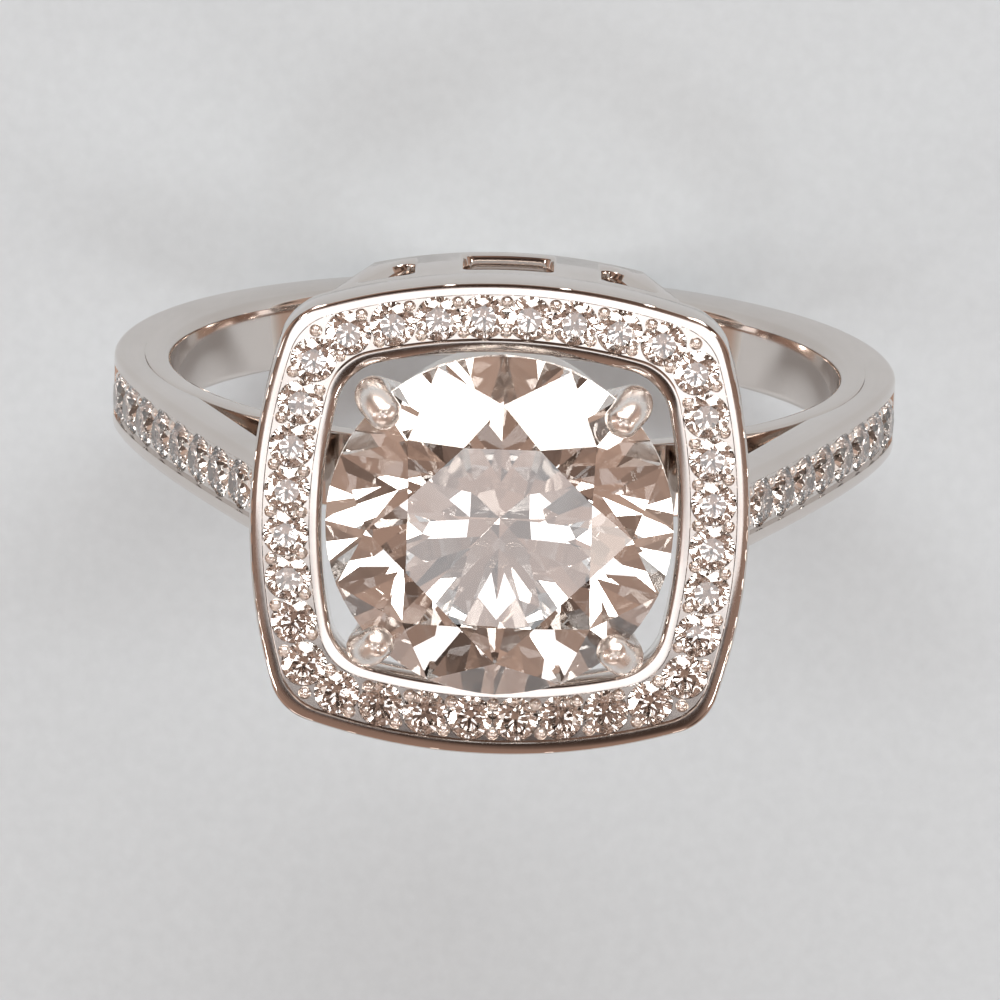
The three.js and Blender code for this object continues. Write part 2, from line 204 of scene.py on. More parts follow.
@dataclass(frozen=True)
class WorkedSurface:
    """A hard surface that drifts slowly between two colours and keeps fine lines from the tool used on it.

    It has two patterns, the drift and the lines, each with a size in millimetres, a detail and a raggedness.
    The surface is coarser where one of them is strong, and the lines stand up a little.
    """

    name: str
    colour: str
    drift_colour: str
    drift_mm: float
    drift_detail: float
    drift_raggedness: float
    line_mm: float
    line_detail: float
    line_raggedness: float
    line_turn: tuple[float, float, float]  # radians
    line_stretch: float  # scale along the lines, less than 1
    roughness: float
    coarse_roughness: float
    coarse_from: float  # strength of the pattern at which the surface starts to be coarser
    coarse_to: float  # and at which it is as coarse as it gets
    bump: float
    bump_mm: float

    def make(self) -> bpy.types.Material:
        """Build the material.

        Returns:
            The material, which reads Object coordinates.
        """
        material, tree = blank_material(self.name)
        place = add_node(tree, "ShaderNodeTexCoord").outputs["Object"]
        stretched = add_node(
            tree,
            "ShaderNodeMapping",
            {"Vector": place, "Rotation": self.line_turn, "Scale": (1.0, self.line_stretch, 1.0)},
        )
        lines, drift = (
            add_node(
                tree,
                "ShaderNodeTexNoise",
                {"Vector": source, "Scale": 1 / (size * MM), "Detail": detail, "Roughness": raggedness},
            ).outputs["Fac"]
            for source, size, detail, raggedness in (
                (stretched.outputs["Vector"], self.line_mm, self.line_detail, self.line_raggedness),
                (place, self.drift_mm, self.drift_detail, self.drift_raggedness),
            )
        )
        rough = add_node(
            tree,
            "ShaderNodeMapRange",
            {
                "Value": self._coarsens(lines, drift),
                "From Min": self.coarse_from,
                "From Max": self.coarse_to,
                "To Min": self.roughness,
                "To Max": self.coarse_roughness,
            },
        )
        colour = add_node(
            tree,
            "ShaderNodeMix",
            {"Factor": drift, "A": linear(self.colour), "B": linear(self.drift_colour)},
            data_type="RGBA",
        )
        bump = add_node(
            tree, "ShaderNodeBump", {"Height": lines, "Strength": self.bump, "Distance": self.bump_mm * MM}
        )
        shader = add_node(
            tree,
            "ShaderNodeBsdfPrincipled",
            {
                "Base Color": colour.outputs["Result"],
                "Roughness": rough.outputs["Result"],
                "Normal": bump.outputs["Normal"],
                **self._substance(),
            },
        )
        add_node(tree, "ShaderNodeOutputMaterial", {"Surface": shader.outputs["BSDF"]})
        return material

    def _coarsens(self, lines: bpy.types.NodeSocket, drift: bpy.types.NodeSocket) -> bpy.types.NodeSocket:
        """Which of the two patterns makes the surface coarser: here the lines."""
        return lines

    def _substance(self) -> dict[str, float]:
        """Values of the shader's own sockets that say what the surface is made of."""
        raise NotImplementedError


@dataclass(frozen=True)
class PolishedWhiteGold(WorkedSurface):
    """Rhodium plate over cast and hand-polished 18 k white gold.

    A mirror metal: what the eye gets is the room in it, a shade warmer than silver, broken only by the faint
    hairlines that a polishing cloth leaves, drawn coarser than they are, and a soft haze where fingers touch.
    """

    name: str = "white_gold_rhodium_polished"
    colour: str = "dfd8d3"
    drift_colour: str = "d0c8c2"
    drift_mm: float = 2.4
    drift_detail: float = 4.0
    drift_raggedness: float = 0.55
    line_mm: float = 0.09
    line_detail: float = 3.0
    line_raggedness: float = 0.6
    line_turn: tuple[float, float, float] = (0.5, 0.3, 0.9)
    line_stretch: float = 0.12
    roughness: float = 0.05
    coarse_roughness: float = 0.13
    coarse_from: float = 0.35
    coarse_to: float = 0.75
    bump: float = 0.05
    bump_mm: float = 0.004

    def _coarsens(self, lines: bpy.types.NodeSocket, drift: bpy.types.NodeSocket) -> bpy.types.NodeSocket:
        """The haze is where the metal is coarser."""
        return drift

    def _substance(self) -> dict[str, float]:
        """A metal, with the shader's own IOR."""
        return {"Metallic": 1.0}


@dataclass(frozen=True)
class CutDiamond(WorkedSurface):
    """Colourless diamond, cut on a lap.

    A high index that throws the light back out of the top. The facets are as flat as the lap leaves them,
    with polishing lines far too fine to see, drawn coarser here, and the crystal's tint drifts a little.
    """

    name: str = "diamond_faceted_polished"
    colour: str = "fdfcfb"
    drift_colour: str = "f4f1ec"
    drift_mm: float = 1.6
    drift_detail: float = 2.0
    drift_raggedness: float = 0.5
    line_mm: float = 0.12
    line_detail: float = 2.0
    line_raggedness: float = 0.5
    line_turn: tuple[float, float, float] = (0.4, 0.9, 0.2)
    line_stretch: float = 0.1
    roughness: float = 0.0
    coarse_roughness: float = 0.006
    coarse_from: float = 0.45
    coarse_to: float = 0.8
    bump: float = 0.01
    bump_mm: float = 0.0002
    index: float = 2.417

    def _substance(self) -> dict[str, float]:
        """A clear crystal of its own index."""
        return {"IOR": self.index, "Transmission Weight": 1.0}


@dataclass(frozen=True)
class MattPaper:
    """Uncoated paper, pressed from pulp.

    Quite without shine, so that it lies evenly pale under the ring, with a grain that is drawn coarser than
    its fibres are.
    """

    name: str = "paper_matt_pale"
    colour: str = "c7d2da"
    grain_colour: str = "bdc8d0"
    grain_mm: float = 0.35
    grain_detail: float = 4.0
    roughness: float = 0.85

    def make(self) -> bpy.types.Material:
        """Build the material.

        Returns:
            The material, which reads Object coordinates.
        """
        material, tree = blank_material(self.name)
        place = add_node(tree, "ShaderNodeTexCoord").outputs["Object"]
        grain = add_node(
            tree,
            "ShaderNodeTexNoise",
            {"Vector": place, "Scale": 1 / (self.grain_mm * MM), "Detail": self.grain_detail},
        )
        colour = add_node(
            tree,
            "ShaderNodeMix",
            {"Factor": grain.outputs["Fac"], "A": linear(self.colour), "B": linear(self.grain_colour)},
            data_type="RGBA",
        )
        shader = add_node(
            tree,
            "ShaderNodeBsdfPrincipled",
            {"Base Color": colour.outputs["Result"], "Roughness": self.roughness, "Specular IOR Level": 0.0},
        )
        add_node(tree, "ShaderNodeOutputMaterial", {"Surface": shader.outputs["BSDF"]})
        return material


@dataclass
class Palette:
    """Every material of the ring, made once."""

    gold: bpy.types.Material = field(default_factory=lambda: PolishedWhiteGold().make())
    # Where a bur drilled the metal out it is rougher, and its colour is painted darker and greyer than the
    # polished metal: painted shade in the seats under the stones, which sets the bright stones off.
    seat: bpy.types.Material = field(
        default_factory=lambda: PolishedWhiteGold(
            name="white_gold_bur_cut_painted_shade",
            colour="c9c0ba",
            drift_colour="a89f9a",
            drift_mm=0.3,
            line_mm=0.05,
            roughness=0.22,
            coarse_roughness=0.4,
            bump=0.2,
        ).make()
    )
    # Claws and beads are rubbed down over the stones with a hand tool, which leaves them satiny; their colour
    # is painted paler than the polished metal as a painted highlight, so that they show as bright dots.
    claw: bpy.types.Material = field(
        default_factory=lambda: PolishedWhiteGold(
            name="white_gold_burnished_painted_bright",
            colour="f3eeea",
            drift_colour="e8e1dc",
            drift_mm=0.5,
            line_mm=0.06,
            roughness=0.24,
            coarse_roughness=0.34,
            bump=0.12,
        ).make()
    )
    diamond: bpy.types.Material = field(default_factory=lambda: CutDiamond().make())
    # A girdle is ground and not polished, so it shows as a thin frosted line round the stone.
    girdle: bpy.types.Material = field(
        default_factory=lambda: CutDiamond(
            name="diamond_girdle_bruted",
            colour="efebe7",
            drift_colour="dcd6d0",
            line_mm=0.05,
            roughness=0.18,
            coarse_roughness=0.4,
            bump=0.3,
            bump_mm=0.003,
        ).make()
    )


# ------------------------------------------------------------------ mesh tools


def extrude_loop(bm: BMesh, loop: Sequence[BMVert]) -> list[BMVert]:
    """Extrude a closed loop of edges.

    Args:
        bm: The mesh.
        loop: The loop's vertices, in order.

    Returns:
        The new loop's vertices, in the same order.
    """
    edges = [bm.edges.get((a, b)) for a, b in zip(loop, [*loop[1:], loop[0]])]
    made = bmesh.ops.extrude_edge_only(bm, edges=edges)["geom"]
    fresh = {g for g in made if isinstance(g, BMVert)}
    return [next(e.other_vert(v) for e in v.link_edges if e.other_vert(v) in fresh) for v in loop]


def sweep(bm: BMesh, rings: Sequence[Sequence[Vector]], closed: bool = False) -> None:
    """Extrude a ring of points from place to place and close what it makes.

    Args:
        bm: The mesh to add to.
        rings: The ring's points at each place, all of one length.
        closed: Whether the last place joins the first again; if not, the two ends are capped.
    """
    first = bmesh.ops.create_circle(bm, segments=len(rings[0]), radius=1.0)["verts"]
    for vert, point in zip(first, rings[0]):
        vert.co = point
    loop = list(first)
    for ring in [*rings[1:], *([rings[0]] if closed else [])]:
        loop = extrude_loop(bm, loop)
        for vert, point in zip(loop, ring):
            vert.co = point
    if closed:
        bmesh.ops.remove_doubles(bm, verts=[*first, *loop], dist=MERGE)
        return
    for end in (first, loop):
        bmesh.ops.contextual_create(bm, geom=list(end))


def join(bm: BMesh, *others: BMesh) -> BMesh:
    """Add meshes to a mesh and use them up.

    Args:
        bm: The mesh that grows.
        *others: What is added to it.

    Returns:
        The mesh that grew.
    """
    for other in others:
        carrier = as_mesh(other, "carrier")
        bm.from_mesh(carrier)
        bpy.data.meshes.remove(carrier)
    return bm


def carve(body: BMesh, cutter: BMesh, materials: Sequence[bpy.types.Material] = ()) -> BMesh:
    """Cut one mesh out of another and use both up.

    Args:
        body: What is cut.
        cutter: What it is cut with.
        materials: Materials of both, so that the cut faces keep the cutter's.

    Returns:
        What is left of the body.
    """
    objects = []
    for bm in (body, cutter):
        bmesh.ops.recalc_face_normals(bm, faces=bm.faces)
        objects.append(add_object("carve", as_mesh(bm, "carve", materials)))
    modifier = objects[0].modifiers.new("carve", "BOOLEAN")
    modifier.operation = "DIFFERENCE"
    modifier.solver = "EXACT"
    modifier.use_self = True
    modifier.object = objects[1]
    left = bmesh.new()
    left.from_object(objects[0], bpy.context.evaluated_depsgraph_get())
    bmesh.ops.remove_doubles(left, verts=left.verts, dist=SLIVER)
    bmesh.ops.dissolve_degenerate(left, edges=left.edges, dist=SLIVER)
    for obj in objects:
        mesh = obj.data
        bpy.data.objects.remove(obj)
        bpy.data.meshes.remove(mesh)
    return left


def plate(outline: Outline, start: float, end: float, rounding: float, steps: int = 5) -> BMesh:
    """A flat plate that stands in the XZ plane.

    Args:
        outline: (x, z) corners, in order.
        start: Its near side along Y.
        end: Its far side along Y.
        rounding: How far from each corner the rounding starts, 0 for sharp.
        steps: Segments in each rounded corner.

    Returns:
        The plate.
    """
    bm = bmesh.new()
    corners = bmesh.ops.create_circle(bm, cap_ends=True, segments=len(outline), radius=1.0)["verts"]
    for vert, (x, z) in zip(corners, outline):
        vert.co = Vector((x, start, z))
    if rounding > 0:
        bmesh.ops.bevel(
            bm, geom=corners, offset=rounding, segments=steps, affect="VERTICES", profile=0.5, material=-1
        )
    made = bmesh.ops.extrude_face_region(bm, geom=bm.faces[:], use_keep_orig=True)["geom"]
    bmesh.ops.translate(bm, vec=(0, end - start, 0), verts=[g for g in made if isinstance(g, BMVert)])
    bmesh.ops.recalc_face_normals(bm, faces=bm.faces)
    return bm


def rounded_rectangle(
    half_width: float, low: float, high: float, low_round: float, high_round: float, steps: int = 4
) -> Outline:
    """Outline of a band's section.

    Args:
        half_width: Half of its width, sideways.
        low: Its inner height.
        high: Its outer height.
        low_round: Rounding radius of the inner corners, 0 for sharp.
        high_round: Rounding radius of the outer corners, 0 for sharp.
        steps: Segments in each rounded corner.

    Returns:
        (sideways, height) pairs, counter-clockwise.
    """
    points = []
    for side, height, radius, start in (
        (1, low, low_round, -90.0),
        (1, high, high_round, 0.0),
        (-1, high, high_round, 90.0),
        (-1, low, low_round, 180.0),
    ):
        if radius <= 0:
            points.append((side * half_width, height))
            continue
        up = 1 if height == low else -1
        for i in range(steps + 1):
            angle = math.radians(start + 90.0 * i / steps)
            sideways = side * (half_width - radius) + radius * math.cos(angle)
            points.append((sideways, height + up * radius + radius * math.sin(angle)))
    return points


def catmull_rom(points: Sequence[Vector], steps: int) -> list[Vector]:
    """Smooth curve through points.

    Args:
        points: What the curve passes through.
        steps: Segments between two points.

    Returns:
        Points along the curve, ends included.
    """
    padded = [points[0] * 2 - points[1], *points, points[-1] * 2 - points[-2]]
    out = []
    for a, b, c, d in zip(padded, padded[1:], padded[2:], padded[3:]):
        for i in range(steps):
            t = i / steps
            curve = b * 2 + (c - a) * t + (a * 2 - b * 5 + c * 4 - d) * t * t
            out.append((curve + (b * 3 - a - c * 3 + d) * t**3) * 0.5)
    out.append(points[-1].copy())
    return out


@dataclass
class Piece:
    """One finished piece of the ring, from its mesh to its place in the frame."""

    name: str
    materials: Sequence[bpy.types.Material]
    nodes: Sequence[str]
    slot: Slot
    sharp_degrees: float = 30.0

    def finish(self, bm: BMesh) -> bpy.types.Object:
        """Turn a mesh into a finished object that rides on the frame, and use it up.

        Args:
            bm: The mesh, in millimetres.

        Returns:
            The object.
        """
        bmesh.ops.scale(bm, vec=(MM, MM, MM), verts=bm.verts)
        bmesh.ops.recalc_face_normals(bm, faces=bm.faces)
        mesh = as_mesh(bm, self.name, self.materials)
        mesh.shade_smooth()
        mesh.set_sharp_from_angle(angle=math.radians(self.sharp_degrees))
        obj = add_object(self.name, mesh)
        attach(obj, BODY)
        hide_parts(*self.nodes)
        log.info("%s: %d faces", self.name, len(mesh.polygons))
        return obj


# ------------------------------------------------------------------ stones


@dataclass(frozen=True)
class RoundBrilliant:
    """A full-cut round brilliant, cut out of a round blank one facet plane at a time.

    The underside of the girdle is at z = 0 and the stone is 1 mm across until it is scaled.
    """

    radius: float = 0.5
    table: float = 0.57
    crown: float = 0.15
    girdle: float = 0.03
    pavilion: float = 0.43
    star_length: float = 0.5
    lower_half_length: float = 0.77
    sides: int = 64
    blank: float = 2.0
    on_plane: float = 2e-6
    merge: float = 2e-5

    def make(self) -> BMesh:
        """Cut the stone.

        Returns:
            A closed mesh whose girdle faces have material 1 and facets material 0.
        """
        bm = bmesh.new()
        bmesh.ops.create_cone(
            bm,
            cap_ends=True,
            segments=self.sides,
            radius1=self.radius,
            radius2=self.radius,
            depth=self.blank,
        )
        for face in bm.faces:
            face.material_index = 1 if abs(face.normal.z) < 0.5 else 0
        for corner, side_a, side_b in self._planes():
            normal = (side_a - corner).cross(side_b - corner).normalized()
            if normal.dot(corner) < 0:
                normal.negate()
            self._facet(bm, corner, normal)
        bmesh.ops.remove_doubles(bm, verts=bm.verts, dist=self.merge)
        return bm

    def _planes(self) -> Iterable[tuple[Vector, Vector, Vector]]:
        """The plane of each facet, table first, then crown and pavilion.

        Yields:
            Three points of the plane.
        """
        half = math.cos(math.pi / 8)
        radius = self.radius
        table_radius = radius * self.table
        top = self.girdle + self.crown
        star_radius = table_radius * half + (radius - table_radius * half) * self.star_length
        star_height = self.girdle + self.crown * (radius - star_radius * half) / (radius - table_radius)
        lower_radius = radius * (1 - self.lower_half_length)
        lower_height = -self.pavilion * (1 - lower_radius * half / radius)
        culet = Vector((0, 0, -self.pavilion))

        def at(r: float, turn: float, z: float) -> Vector:
            """Point at a radius, a number of eighths of a turn and a height."""
            angle = turn * math.pi / 4
            return Vector((r * math.cos(angle), r * math.sin(angle), z))

        yield at(table_radius, 0, top), at(table_radius, 2, top), at(table_radius, 5, top)
        for i in range(8):
            table_corner, next_corner = at(table_radius, i, top), at(table_radius, i + 1, top)
            star, last_star = at(star_radius, i + 0.5, star_height), at(star_radius, i - 0.5, star_height)
            yield table_corner, star, last_star
            yield table_corner, next_corner, star
            for step in (0.0, 0.5):
                yield star, at(radius, i + step, self.girdle), at(radius, i + step + 0.5, self.girdle)
        for i in range(8):
            lower = at(lower_radius, i + 0.5, lower_height)
            yield culet, lower, at(lower_radius, i - 0.5, lower_height)
            for step in (0.0, 0.5):
                yield lower, at(radius, i + step, 0.0), at(radius, i + step + 0.5, 0.0)

    def _facet(self, bm: BMesh, corner: Vector, normal: Vector) -> None:
        """Grind one facet: cut on a plane, drop what is outside it and close the cut.

        Args:
            bm: The stone so far.
            corner: A point of the plane.
            normal: The plane's outward normal.
        """
        whole = [*bm.verts, *bm.edges, *bm.faces]
        bmesh.ops.bisect_plane(
            bm, geom=whole, dist=self.on_plane, plane_co=corner, plane_no=normal, clear_outer=True
        )
        rim = [e for e in bm.edges if e.is_boundary]
        if rim:
            for face in bmesh.ops.holes_fill(bm, edges=rim, sides=0)["faces"]:
                face.material_index = 0


@dataclass
class Stones:
    """Every stone of the ring, each in the place of its frame node."""

    palette: Palette
    cut: RoundBrilliant = field(default_factory=RoundBrilliant)
    melee_cut: RoundBrilliant = field(default_factory=lambda: RoundBrilliant(sides=32))
    centre_turn_degrees: float = 22.5
    facet_degrees: float = 1.0
    seats: dict[str, Matrix] = field(default_factory=dict)

    @staticmethod
    def nodes(start: str) -> list[str]:
        """Frame nodes that are stones and whose names begin that way."""
        return sorted(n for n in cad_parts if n.startswith(start) and "stone" in n)

    @staticmethod
    def seat_of(node: str) -> Matrix:
        """Find out from a stone's frame node how the stone stands: where, which way and how big.

        Args:
            node: The node's name.

        Returns:
            Matrix from a 1 mm stone to the node's place, in millimetres.
        """
        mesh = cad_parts[node].data
        points = [v.co / MM for v in mesh.vertices]
        axis = max(
            (p.normal for p in mesh.polygons),
            key=lambda n: sum(p.area for p in mesh.polygons if p.normal.dot(n) > SAME_WAY),
        ).normalized()
        culet = min(points, key=lambda p: p.dot(axis))
        arms = [(p - culet) - axis * (p - culet).dot(axis) for p in points]
        out = max(arms, key=lambda arm: arm.length)
        diameter = 2 * out.length
        out.normalize()
        turn = Matrix((out, axis.cross(out), axis)).transposed().to_4x4()
        origin = culet + axis * diameter * RoundBrilliant.pavilion
        return Matrix.Translation(origin) @ turn @ Matrix.Scale(diameter, 4)

    def build(self) -> None:
        """Cut and set every stone."""
        materials = (self.palette.diamond, self.palette.girdle)
        for start, cut, slot in (
            ("centre_stone", self.cut, Slot.CENTRE),
            ("halo_stone", self.melee_cut, Slot.MELEE),
            ("shoulder_right", self.melee_cut, Slot.MELEE),
            ("shoulder_left", self.melee_cut, Slot.MELEE),
        ):
            master = cut.make()
            for node in self.nodes(start):
                matrix = self.seat_of(node)
                if slot is Slot.CENTRE:
                    matrix = matrix @ Matrix.Rotation(math.radians(self.centre_turn_degrees), 4, "Z")
                bm = master.copy()
                bmesh.ops.transform(bm, matrix=matrix, verts=bm.verts)
                Piece(node + "_brilliant", materials, (node,), slot, self.facet_degrees).finish(bm)
                self.seats[node] = matrix
            master.free()


# ------------------------------------------------------------------ pavé work


@dataclass
class Pave:
    """Drilled seats and raised beads for a row of small stones."""

    clearance: float = 0.012
    sides: int = 28
    mouth: float = 0.9  # stone diameters above the girdle
    ledge: float = 0.02  # stone diameters below the girdle
    drill: float = 0.16  # stone diameters, its radius
    drill_start: float = 0.8  # share of the depth at which the cone becomes the drill hole
    bead_radius: float = 0.17
    bead_offset: float = 0.37
    bead_rise: float = -0.04

    def seats(self, matrices: Iterable[Matrix]) -> BMesh:
        """Cutters for the seats.

        Args:
            matrices: The stones' matrices.

        Returns:
            One closed cutter for each stone, with material 1.
        """
        bm = bmesh.new()
        for matrix in matrices:
            diameter = matrix.to_scale().x
            radius = RoundBrilliant.radius + self.clearance / diameter
            depth = RoundBrilliant.pavilion + self.ledge
            profile = (
                (radius, self.mouth),
                (radius, -self.ledge),
                (self.drill, -depth * self.drill_start),
                (self.drill, -depth),
            )
            turn = full_turn(self.sides)
            local = bmesh.new()
            sweep(local, [[Vector((r * math.cos(a), r * math.sin(a), z)) for a in turn] for r, z in profile])
            # Material 1 is the seat metal, whose darker colour is painted shade.
            for face in local.faces:
                face.material_index = 1
            bmesh.ops.transform(local, matrix=matrix, verts=local.verts)
            join(bm, local)
        return bm

    def beads(self, spots: Iterable[tuple[Vector, Vector]]) -> BMesh:
        """Round metal beads raised between the stones.

        Args:
            spots: For each bead, the point of the surface it stands on and the surface's normal.

        Returns:
            The beads.
        """
        bm = bmesh.new()
        for point, normal in spots:
            centre = point + normal * self.bead_rise
            bmesh.ops.create_icosphere(
                bm, subdivisions=2, radius=self.bead_radius, matrix=Matrix.Translation(centre)
            )
        # Material 2 is the claw metal, whose paler colour is a painted highlight.
        for face in bm.faces:
            face.material_index = 2
        return bm


# ------------------------------------------------------------------ band


@dataclass
class Band:
    """The shank, the finger rail and the two cathedral shoulders."""

    palette: Palette
    stones: Stones
    pave: Pave = field(default_factory=Pave)
    bore_radius: float = 8.46
    edge_round: float = 0.14
    edge_steps: int = 4
    finger_round: float = 0.24
    seam_round: float = 0.08
    seam_cut: float = 0.3  # how far the middle of a seam's rounding stands back, in its radii
    seam_heights: tuple[float, float] = (0.2, 2.2)  # between these the arms' seam opens to its full rounding
    seam_shares: tuple[float, float] = (0.02, 0.12)  # the same along the rail, from each of its ends
    seam_rise: float = 0.01
    sharp: float = 0.004
    end_degrees: float = -3.5
    meet_degrees: float = 34.0
    control_height: float = 2.9
    end_height: float = 2.1
    start_overlap: float = 1.3  # how much further down than its end the arm is swept before it is cut
    stop: float = 1.12  # where the sweep ends above the head, counted as in _curve
    run_on: float = 10.0  # millimetres of straight run for each 1 past the curve's end
    channel_half: float = 0.65
    channel_depth: float = 0.12
    channel_start: float = 0.85  # below the lowest stone's middle
    channel_full: float = 0.72
    lip: float = 0.02
    end_bead: float = 0.62  # along the arm from the last stone's middle
    stations: int = 120
    spin_stations: int = 180

    def __post_init__(self) -> None:
        """Read the main sizes from the frame."""
        low, high = box_mm("shank")
        self.half_width = high.y
        self.shank_radius = -low.z
        self.rail_radius = box_mm("finger_rail")[1].z
        low, high = box_mm("shoulder_right")
        self.top = Vector((low.x, high.z))
        self.seam_radius = self.rail_radius + self.seam_rise

    def build(self) -> None:
        """Build the four metal pieces of the band."""
        end = self.end_degrees
        self._spun("shank_band", "shank", self._shank_section, 180 - end, 360 + end)
        self._spun("finger_rail_band", "finger_rail", self._rail_section, end, 180 - end)
        for side, turn in (("right", 0.0), ("left", math.pi)):
            self._shoulder(side, Matrix.Rotation(turn, 4, "Z"))

    def _shank_section(self, _share: float) -> Outline:
        """Section of the shank, the same all the way: (along the finger, radius) pairs."""
        radii = (self.bore_radius, self.shank_radius)
        return rounded_rectangle(self.half_width, *radii, self.finger_round, self.edge_round)

    def _rail_section(self, share: float) -> Outline:
        """Section of the finger rail, whose outer edges are sharp at both ends.

        Args:
            share: How far along the rail, from 0 to 1.

        Returns:
            (along the finger, radius) pairs.
        """
        seam = self.seam_round * smooth_step(min(share, 1 - share), *self.seam_shares)
        radii = (self.bore_radius, self.seam_radius)
        return rounded_rectangle(self.half_width, *radii, self.finger_round, max(seam, self.sharp))

    def _spun(
        self, name: str, node: str, section: Callable[[float], Outline], start: float, end: float
    ) -> None:
        """Sweep a band's section round the finger's axis.

        Args:
            name: The piece's name.
            node: The frame node it stands for.
            section: Gives (along the finger, radius) pairs at a share of the length.
            start: First angle from +X towards +Z, in degrees.
            end: Last angle, in degrees.
        """
        bm = bmesh.new()
        count = self.spin_stations
        rings = []
        for i in range(count + 1):
            a = math.radians(start + (end - start) * i / count)
            rings.append([Vector((r * math.cos(a), y, r * math.sin(a))) for y, r in section(i / count)])
        sweep(bm, rings)
        Piece(name, (self.palette.gold,), (node,), Slot.GOLD).finish(bm)

    def _curve(self, t: float) -> tuple[Vector, Vector]:
        """Upper surface of an arm.

        Args:
            t: 0 at finger level and 1 at the head. Below 0 it is an angle in radians on round the shank,
                and above 1 the surface runs straight on.

        Returns:
            The point and the outward normal, both (x, z).
        """
        start = Vector((self.shank_radius, 0.0))
        control = Vector((self.shank_radius, self.control_height))
        if t < 0:
            out = Vector((math.cos(t), math.sin(t)))
            return out * self.shank_radius, out
        s = min(t, 1.0)
        point = start * (1 - s) ** 2 + control * 2 * s * (1 - s) + self.top * s * s
        along = ((control - start) * (1 - s) + (self.top - control) * s).normalized()
        if t > 1:
            point = point + along * (t - 1) * self.run_on
        return point, Vector((along.y, -along.x))

    def _thickness(self, point: Vector, normal: Vector) -> float:
        """Depth of the arm: down to its straight under edge near the head, and to the rail lower down.

        Args:
            point: A point of the arm's upper surface, (x, z).
            normal: The outward normal there.

        Returns:
            The depth, square to the surface.
        """
        angle = math.radians(self.meet_degrees)
        meet = Vector((math.cos(angle), math.sin(angle)))
        meet *= self.seam_radius
        end = self.top - Vector((0, self.end_height))
        along = meet - end
        inward = -normal
        denominator = inward.x * along.y - inward.y * along.x
        gap = end - point
        line = (gap.x * along.y - gap.y * along.x) / denominator
        share = (gap.x * inward.y - gap.y * inward.x) / denominator
        if share <= 1.0:
            return line
        across = point.dot(inward)
        return -across - math.sqrt(across**2 - point.length_squared + self.seam_radius**2)

    def _section(self, depth: float, thickness: float, seam: float) -> Outline:
        """Section of an arm with its channel: (sideways, depth below the surface) pairs.

        Args:
            depth: Depth of the channel there.
            thickness: Depth of the arm there.
            seam: Rounding of the two lower edges.

        Returns:
            The pairs, in order round the section.
        """
        half, inner, e = self.half_width, self.channel_half, self.edge_round
        cut = self.seam_cut * seam
        right = [(half - seam, thickness), (half - cut, thickness - cut), (half, thickness - seam)]
        for i in range(self.edge_steps + 1):
            a = math.pi / 2 * i / self.edge_steps
            right.append((half - e + e * math.cos(a), e - e * math.sin(a)))
        lip = self.lip * min(1.0, depth / self.channel_depth)
        right += [(inner + self.lip, 0.0), (inner, lip), (inner, depth)]
        return right + [(-y, d) for y, d in reversed(right)]

    def _shoulder(self, side: str, turn: Matrix) -> None:
        """Build one arm.

        Args:
            side: "right" or "left".
            turn: Turns the right arm to its side.
        """
        node = f"shoulder_{side}"
        local = [turn.inverted() @ self.stones.seats[n] for n in Stones.nodes(node)]
        row = sorted(local, key=lambda m: m.translation.z)
        metals = (self.palette.gold, self.palette.seat, self.palette.claw)
        body = carve(self._arm(row[0].translation.z), self.pave.seats(local), metals)
        arm = join(body, self.pave.beads(self._bead_spots(row)))
        bmesh.ops.transform(arm, matrix=turn, verts=arm.verts)
        Piece(node + "_arm", metals, (node,), Slot.GOLD).finish(arm)

    def _arm(self, lowest: float) -> BMesh:
        """The right arm with its channel, before the stones' seats are drilled.

        Args:
            lowest: Height of the lowest stone's middle, under which the channel ends.

        Returns:
            The arm, cut off square at the head and where it meets the shank.
        """
        end = math.radians(self.end_degrees)
        low_t = end * self.start_overlap
        rings = []
        for i in range(self.stations + 1):
            t = low_t + (self.stop - low_t) * i / self.stations
            point, normal = self._curve(t)
            start, full = lowest - self.channel_start, lowest - self.channel_full
            depth = self.channel_depth * smooth_step(point.y, start, full)
            seam = max(self.seam_round * smooth_step(point.y, *self.seam_heights), self.sharp)
            section = self._section(depth, self._thickness(point, normal), seam)
            rings.append([Vector((point.x - normal.x * d, y, point.y - normal.y * d)) for y, d in section])
        bm = bmesh.new()
        sweep(bm, rings)
        for corner, out in (
            (Vector((self.top.x, 0, 0)), Vector((-1, 0, 0))),
            (Vector((0, 0, 0)), Vector((math.sin(end), 0, -math.cos(end)))),
        ):
            whole = [*bm.verts, *bm.edges, *bm.faces]
            bmesh.ops.bisect_plane(
                bm, geom=whole, dist=ON_PLANE, plane_co=corner, plane_no=out, clear_outer=True
            )
            bmesh.ops.holes_fill(bm, edges=[e for e in bm.edges if e.is_boundary], sides=0)
        return bm

    def _bead_spots(self, row: Sequence[Matrix]) -> list[tuple[Vector, Vector]]:
        """Where the beads stand: a pair between each two stones and a pair beyond each end of the row.

        Args:
            row: The stones' matrices, from the lowest up.

        Returns:
            For each bead, the point it stands on and the surface's normal.
        """
        places = []
        for a, b in zip(row, row[1:]):
            normal = (a.to_3x3().col[2] + b.to_3x3().col[2]).normalized()
            places.append(((a.translation + b.translation) / 2, normal))
        for stone, way in ((row[0], -1), (row[-1], 1)):
            normal = stone.to_3x3().col[2].normalized()
            along = Vector((-normal.z, 0, normal.x)) * way
            places.append((stone.translation + along * self.end_bead, normal))
        aside = Vector((0, self.pave.bead_offset, 0))
        return [(point + aside * sign, normal) for point, normal in places for sign in (1, -1)]


# ------------------------------------------------------------------ head


